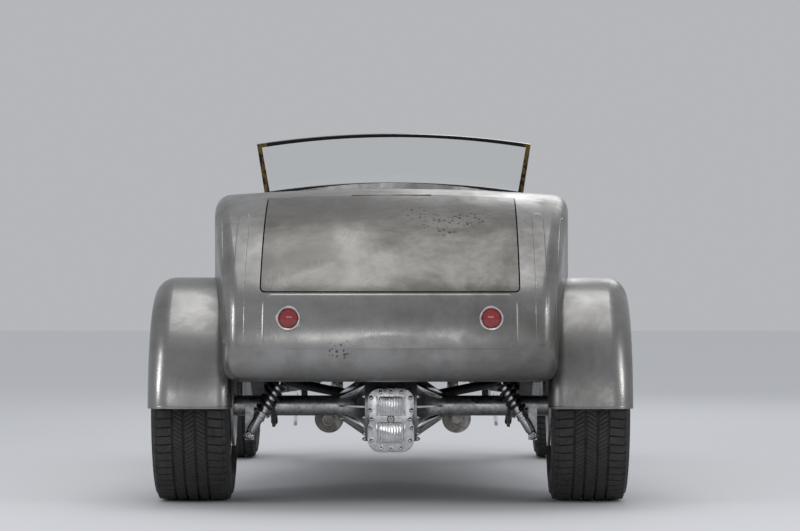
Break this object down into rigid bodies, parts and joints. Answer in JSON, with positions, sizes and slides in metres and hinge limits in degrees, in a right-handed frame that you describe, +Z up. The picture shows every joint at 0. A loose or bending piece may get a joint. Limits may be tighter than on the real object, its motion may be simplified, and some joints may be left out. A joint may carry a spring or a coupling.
{
  "type": "street rod roadster",
  "caption": "Open two-seat street rod roadster with a bare steel body, bobbed rear fenders, cycle front fenders, quick-change rear axle and opening doors, boot lid and hood.",
  "frame": {"origin": "on the floor, under the middle of the car's length and width", "axes": "+Y forward, +X the car's right, +Z up"},
  "size_m": [1.764, 3.6369, 1.4346],
  "materials": {
    "bare_steel": "ground by hand, unpainted",
    "black_paint": "satin black",
    "chrome": "polished",
    "polished_aluminium": "polished",
    "frame_enamel": "black enamel worn through to brass at its edges",
    "dark_iron": "as cast",
    "tyre_rubber": "matte",
    "seat_leather": "pleated",
    "rim_plastic": "gloss",
    "clear_glass": "clear",
    "red_lens": "moulded red lens"
  },
  "bodies": {
    "chassis": {"body_tub": "bare_steel", "cowl": "bare_steel", "floor_pan": "black_paint", "dashboard": "black_paint", "grille_shell": "bare_steel", "grille": "chrome", "radiator": "polished_aluminium", "hood_hinge": "chrome", "hood_sides": "bare_steel", "windshield_frame": "frame_enamel", "windshield_glass": "clear_glass", "seat_cushion": "seat_leather", "seat_back": "seat_leather", "frame_rails": "black_paint", "engine": "dark_iron", "exhausts": "chrome", "rear_axle": "black_paint", "quick_change_cover": "polished_aluminium", "coil_overs": "polished_aluminium", "ladder_bars": "black_paint", "rear_fender_left": "bare_steel", "rear_fender_right": "bare_steel", "front_axle": "chrome", "front_spring": "chrome", "hairpins": "chrome", "steering_column": "chrome", "headlights": "chrome", "taillights": "red_lens"},
    "door_left": {"door_left": "bare_steel"},
    "door_right": {"door_right": "bare_steel"},
    "decklid": {"decklid": "bare_steel"},
    "hood_left": {"hood_left": "bare_steel"},
    "hood_right": {"hood_right": "bare_steel"},
    "steering_wheel": {"steering_wheel": "rim_plastic"},
    "pitman_arm": {"pitman_arm": "dark_iron"},
    "drag_link": {"drag_link": "chrome"},
    "tie_rod": {"tie_rod": "chrome"},
    "steer_left": {"knuckle_left": "dark_iron", "front_fender_left": "bare_steel"},
    "front_wheel_left": {"front_wheel_left": "polished_aluminium", "front_tyre_left": "tyre_rubber"},
    "rear_wheel_left": {"rear_wheel_left": "polished_aluminium", "rear_tyre_left": "tyre_rubber"},
    "steer_right": {"knuckle_right": "dark_iron", "front_fender_right": "bare_steel"},
    "front_wheel_right": {"front_wheel_right": "polished_aluminium", "front_tyre_right": "tyre_rubber"},
    "rear_wheel_right": {"rear_wheel_right": "polished_aluminium", "rear_tyre_right": "tyre_rubber"}
  },
  "joints": [
    {"name": "rear_wheel_spin_left", "type": "hinge", "parent": "chassis", "child": "rear_wheel_left", "pos_m": [-0.735, -1.1785, 0.355], "axis": [1, 0, 0], "continuous": true},
    {"name": "steer_left", "type": "hinge", "parent": "chassis", "child": "steer_left", "pos_m": [-0.64, 1.5135, 0.305], "axis": [0, 0, 1], "range_deg": [-30, 30]},
    {"name": "front_wheel_spin_left", "type": "hinge", "parent": "steer_left", "child": "front_wheel_left", "pos_m": [-0.715, 1.5135, 0.305], "axis": [1, 0, 0], "continuous": true},
    {"name": "door_left", "type": "hinge", "parent": "chassis", "child": "door_left", "pos_m": [-0.60042, 0.149, 0.85], "axis": [0, 0, -1], "range_deg": [0, 65]},
    {"name": "hood_left", "type": "hinge", "parent": "chassis", "child": "hood_left", "pos_m": [0, 0.8025, 1.176], "axis": [0, 0.9982, -0.0597], "range_deg": [0, 70]},
    {"name": "rear_wheel_spin_right", "type": "hinge", "parent": "chassis", "child": "rear_wheel_right", "pos_m": [0.735, -1.1785, 0.355], "axis": [1, 0, 0], "continuous": true},
    {"name": "steer_right", "type": "hinge", "parent": "chassis", "child": "steer_right", "pos_m": [0.64, 1.5135, 0.305], "axis": [0, 0, 1], "range_deg": [-30, 30]},
    {"name": "front_wheel_spin_right", "type": "hinge", "parent": "steer_right", "child": "front_wheel_right", "pos_m": [0.715, 1.5135, 0.305], "axis": [1, 0, 0], "continuous": true},
    {"name": "door_right", "type": "hinge", "parent": "chassis", "child": "door_right", "pos_m": [0.60042, 0.149, 0.85], "axis": [0, 0, 1], "range_deg": [0, 65]},
    {"name": "hood_right", "type": "hinge", "parent": "chassis", "child": "hood_right", "pos_m": [0, 0.8025, 1.176], "axis": [0, -0.9982, 0.0597], "range_deg": [0, 70]},
    {"name": "tie_rod_swing", "type": "hinge", "parent": "steer_left", "child": "tie_rod", "pos_m": [-0.64, 1.3735, 0.225], "axis": [0, 0, 1], "range_deg": [-30, 30]},
    {"name": "pitman_swing", "type": "hinge", "parent": "chassis", "child": "pitman_arm", "pos_m": [-0.27, 1.3015, 0.28], "axis": [0, 0, 1], "range_deg": [-30, 30]},
    {"name": "drag_link_swing", "type": "hinge", "parent": "pitman_arm", "child": "drag_link", "pos_m": [-0.27, 1.1615, 0.261], "axis": [0, 0, 1], "range_deg": [-30, 30]},
    {"name": "steering_wheel_turn", "type": "hinge", "parent": "chassis", "child": "steering_wheel", "pos_m": [-0.34, -0.0135, 1.018], "axis": [0, 0.9063, -0.4226], "range_deg": [-450, 450]},
    {"name": "decklid_lift", "type": "hinge", "parent": "chassis", "child": "decklid", "pos_m": [0, -1.086, 1.14846], "axis": [-1, 0, 0], "range_deg": [0, 60]}
  ],
  "couplings": [
    {"joint": "steer_right", "follows": "steer_left", "ratio": 1},
    {"joint": "pitman_swing", "follows": "steer_left", "ratio": 1},
    {"joint": "tie_rod_swing", "follows": "steer_left", "ratio": -1},
    {"joint": "drag_link_swing", "follows": "steer_left", "ratio": -1},
    {"joint": "steering_wheel_turn", "follows": "steer_left", "ratio": -15}
  ]
}
